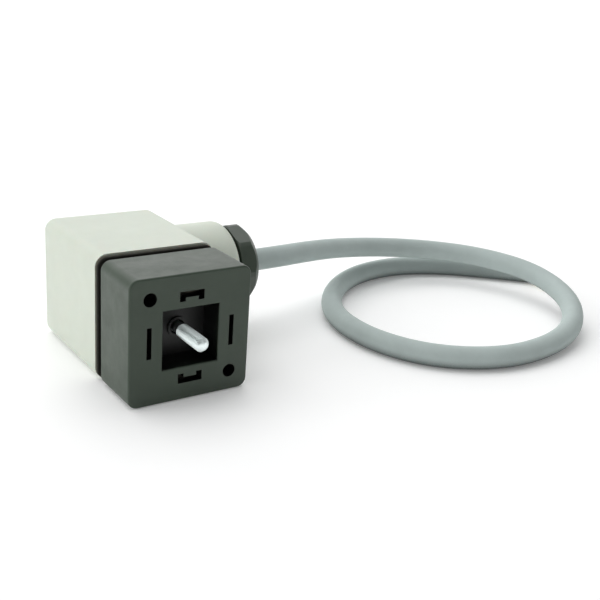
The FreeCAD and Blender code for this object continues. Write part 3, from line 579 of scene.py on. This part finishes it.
def screw_head(material):
    """The slotted cheese head."""
    outline = [
        (0, HEAD_FRONT),
        (HEAD_RADIUS - HEAD_FOOT_EDGE, HEAD_FRONT),
        (HEAD_RADIUS, HEAD_FRONT + HEAD_FOOT_EDGE),
    ]
    for step in range(HEAD_EDGE_STEPS + 1):
        angle = math.pi / 2 * step / HEAD_EDGE_STEPS
        inwards = HEAD_EDGE * (1 - math.cos(angle))
        forwards = HEAD_EDGE * (1 - math.sin(angle))
        outline.append((HEAD_RADIUS - inwards, HEAD_REAR - forwards))
    outline.append((0, HEAD_REAR))
    head = finish_mesh("screw_head", turned(outline, HEAD_COLUMNS), "screw")

    cutter_mesh = bpy.data.meshes.new("slot_cutter")
    box = bmesh.new()
    bmesh.ops.create_cube(box, size=1)
    bmesh.ops.scale(box, vec=(4 * HEAD_RADIUS, 2 * SLOT_DEPTH, SLOT_WIDTH), verts=box.verts)
    bmesh.ops.translate(box, vec=(0, HEAD_REAR, 0), verts=box.verts)
    box.to_mesh(cutter_mesh)
    box.free()
    cutter = bpy.data.objects.new("slot_cutter", cutter_mesh)
    bpy.context.scene.collection.objects.link(cutter)
    slot = head.modifiers.new("slot", "BOOLEAN")
    slot.operation = "DIFFERENCE"
    slot.solver = "EXACT"
    slot.object = cutter
    soft = head.modifiers.new("soft", "BEVEL")
    soft.width = SLOT_EDGE
    soft.segments = 2
    soft.limit_method = "ANGLE"
    soft.angle_limit = SLOT_EDGE_ANGLE
    bpy.context.view_layer.update()
    seen = head.evaluated_get(bpy.context.evaluated_depsgraph_get())
    head.data = bpy.data.meshes.new_from_object(seen)
    head.modifiers.clear()
    bpy.data.objects.remove(cutter)
    head.data.shade_smooth()
    head.data.set_sharp_from_angle(angle=SMOOTH_ANGLE)
    head.data.materials.append(material)
    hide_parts("fixing_screw")


# ---------------------------------------------------------------- lead

CABLE_DIAMETER = 5.2 * MM
CABLE_ROUNDNESS = 12
CURVE_STEPS = 16
# The sheath's route, in millimetres.
ROUTE = [
    (25.0, 28.5, 3.3),
    (36.0, 28.5, 3.3),
    (51.0, 33.5, 1.8),
    (66.0, 40.3, -1.0),
    (82.0, 42.5, -3.2),
    (97.0, 38.0, -4.4),
    (107.8, 28.0, -4.9),
    (113.4, 13.6, -5.7),
    (110.8, -1.6, -7.9),
    (100.2, -12.4, -10.0),
    (85.4, -17.6, -10.7),
    (69.0, -17.6, -10.7),
    (55.2, -9.4, -10.7),
    (48.8, 4.8, -10.7),
    (50.4, 21.2, -10.7),
    (60.8, 35.4, -10.7),
    (75.5, 44.0, -10.7),
    (90.8, 45.4, -10.7),
    (103.5, 40.5, -10.7),
    (114.0, 32.5, -10.7),
    (123.5, 24.3, -10.7),
]

CORE_DIAMETER = 1.4 * MM
CORE_COLUMNS = 28
# In millimetres: the middle core's route past the sheath's end, each core's place across and up
# in the sheath's end, and how far beside the middle core's route it runs.
CORE_ROUTE = [
    (125.4, 21.7, -11.5),
    (125.7, 17.9, -12.2),
    (123.9, 14.2, -12.2),
]
CORE_SEATS = {"brown": (0.85, 0.5), "blue": (0.0, -0.98), "green_yellow": (-0.85, 0.5)}
CORE_LANES = {"brown": 1.75, "blue": 0.0, "green_yellow": -1.75}

FERRULE_LENGTH = 6.0 * MM
FERRULE_COLLAR = 2.2 * MM
FERRULE_COLLAR_RADIUS = 0.85 * MM
FERRULE_RADIUS = 0.6 * MM
FERRULE_EDGE = 0.12 * MM
FERRULE_COLUMNS = 24
CRIMPS = 3
CRIMP_DEPTH = 0.13 * MM
# Where a crimp starts, reaches its depth, leaves it and ends, as a share of the crimps' spacing.
CRIMP_OUTLINE = ((-0.32, 0.0), (-0.2, CRIMP_DEPTH), (0.2, CRIMP_DEPTH), (0.32, 0.0))


def smooth_curve(name, points, bevel=0.0):
    """An open NURBS curve with these points, in metres, as its control points."""
    data = bpy.data.curves.new(name, "CURVE")
    data.dimensions = "3D"
    data.bevel_depth = bevel
    data.bevel_resolution = CABLE_ROUNDNESS
    data.use_fill_caps = True
    spline = data.splines.new("NURBS")
    spline.points.add(len(points) - 1)
    for point, place in zip(spline.points, points):
        point.co = (*place, 1)
    spline.order_u = 3
    spline.use_endpoint_u = True
    spline.resolution_u = CURVE_STEPS
    curve = bpy.data.objects.new(name, data)
    bpy.context.scene.collection.objects.link(curve)
    return curve


def core_points(colour):
    """One core's route: its seat in the sheath, then beside the middle core's route."""
    across, up = CORE_SEATS[colour]
    middle = [Vector(p) for p in [ROUTE[-1], *CORE_ROUTE]]
    along = (middle[0] - Vector(ROUTE[-2])).normalized()
    side = Vector((0, 0, 1)).cross(along)
    points = [middle[0] + side * across + Vector((0, 0, up))]
    for number in range(1, len(middle)):
        after = middle[min(number + 1, len(middle) - 1)]
        sideways = Vector((0, 0, 1)).cross(after - middle[number - 1]).normalized()
        points.append(middle[number] + sideways * CORE_LANES[colour])
    return [point * MM for point in points]


def read_curve(points):
    """The places along the NURBS curve that has these control points."""
    guide = smooth_curve("guide", points)
    bpy.context.view_layer.update()
    seen = guide.evaluated_get(bpy.context.evaluated_depsgraph_get())
    mesh = bpy.data.meshes.new_from_object(seen)
    places = [vertex.co.copy() for vertex in mesh.vertices]
    bpy.data.objects.remove(guide)
    bpy.data.meshes.remove(mesh)
    return places


def skin_along(places, radii, columns):
    """A closed round bmesh along places, with a radius for each; "around" is a vertex's way round it."""
    shape = bmesh.new()
    turn_layer = shape.verts.layers.float.new("around")
    rings = [[shape.verts.new(places[0])]]
    across = Vector((0, 0, 1))
    for number, place in enumerate(places):
        ahead = places[min(number + 1, len(places) - 1)] - places[max(number - 1, 0)]
        along = ahead.normalized()
        across = (across - along * across.dot(along)).normalized()
        other = along.cross(across)
        ring = []
        for column, angle in enumerate(angles(columns)):
            out = across * math.cos(angle) + other * math.sin(angle)
            vertex = shape.verts.new(place + out * radii[number])
            vertex[turn_layer] = abs(2 * column / columns - 1)
            ring.append(vertex)
        rings.append(ring)
    rings.append([shape.verts.new(places[-1])])
    join_rings(shape, rings)
    return shape


def end_core(colour, material):
    """One stripped core: its insulation from the sheath's end to the ferrule's collar."""
    places = read_curve(core_points(colour))
    radii = [CORE_DIAMETER / 2] * len(places)
    name = f"end_core_{colour}"
    core = finish_mesh(f"{name}_insulation", skin_along(places, radii, CORE_COLUMNS), "connector")
    core.data.materials.append(material)
    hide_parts(name)
    return core, places


def ferrule_profile():
    """Distance out along a ferrule and its radius: flared collar, then the crimped sleeve."""
    profile = [
        (0.0, FERRULE_COLLAR_RADIUS - FERRULE_EDGE),
        (FERRULE_EDGE, FERRULE_COLLAR_RADIUS),
        (FERRULE_COLLAR - 4 * FERRULE_EDGE, FERRULE_COLLAR_RADIUS),
        (FERRULE_COLLAR, FERRULE_RADIUS),
    ]
    spacing = (FERRULE_LENGTH - FERRULE_COLLAR) / (CRIMPS + 1)
    for number in range(CRIMPS):
        middle = FERRULE_COLLAR + spacing * (number + 1)
        for shift, depth in CRIMP_OUTLINE:
            profile.append((middle + shift * spacing, FERRULE_RADIUS - depth))
    profile.append((FERRULE_LENGTH - FERRULE_EDGE, FERRULE_RADIUS))
    profile.append((FERRULE_LENGTH, FERRULE_RADIUS - FERRULE_EDGE))
    return profile


def ferrules(ends, material):
    """The three crimped ferrules, one mesh, each in line with its core's end."""
    profile = ferrule_profile()
    whole = bmesh.new()
    for places in ends:
        out = (places[-1] - places[-2]).normalized()
        line = [places[-1] + out * distance for distance, radius in profile]
        single = skin_along(line, [radius for distance, radius in profile], FERRULE_COLUMNS)
        mesh = bpy.data.meshes.new("ferrule")
        single.to_mesh(mesh)
        single.free()
        whole.from_mesh(mesh)
        bpy.data.meshes.remove(mesh)
    piece = finish_mesh("ferrule_sleeves", whole, "connector", FERRULE_SMOOTH_ANGLE)
    piece.data.materials.append(material)
    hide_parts("core_ferrules")
    return piece


def make_cable(materials):
    """The lead's sheath, with the stripped cores and their ferrules on its end."""
    points = [Vector(p) * MM for p in ROUTE]
    cable = smooth_curve("cable_sheath", points, CABLE_DIAMETER / 2)
    cable.data.materials.append(materials["cable_sheath"])
    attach(cable, "connector")
    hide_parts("cable")
    made = [end_core(colour, materials[f"core_{colour}"]) for colour in CORE_SEATS]
    sleeves = ferrules([places for core, places in made], materials["tinned_copper"])


# ---------------------------------------------------------------- assembly


def dress_nodes(materials):
    """Each CAD node that stays gets the material of its slot."""
    slots = {part["node"]: part["material_slot"] for part in frame["record"]["subparts"]}
    for name, node in nodes.items():
        node.data.materials.clear()
        node.data.materials.append(materials[slots[name]])


bpy.context.scene.view_settings.view_transform = "Standard"
make_camera()
materials = make_materials()
dress_nodes(materials)
make_cable(materials)
screw_shank(materials["zinc_steel"])
screw_head(materials["zinc_steel"])
make_floor()
studio()
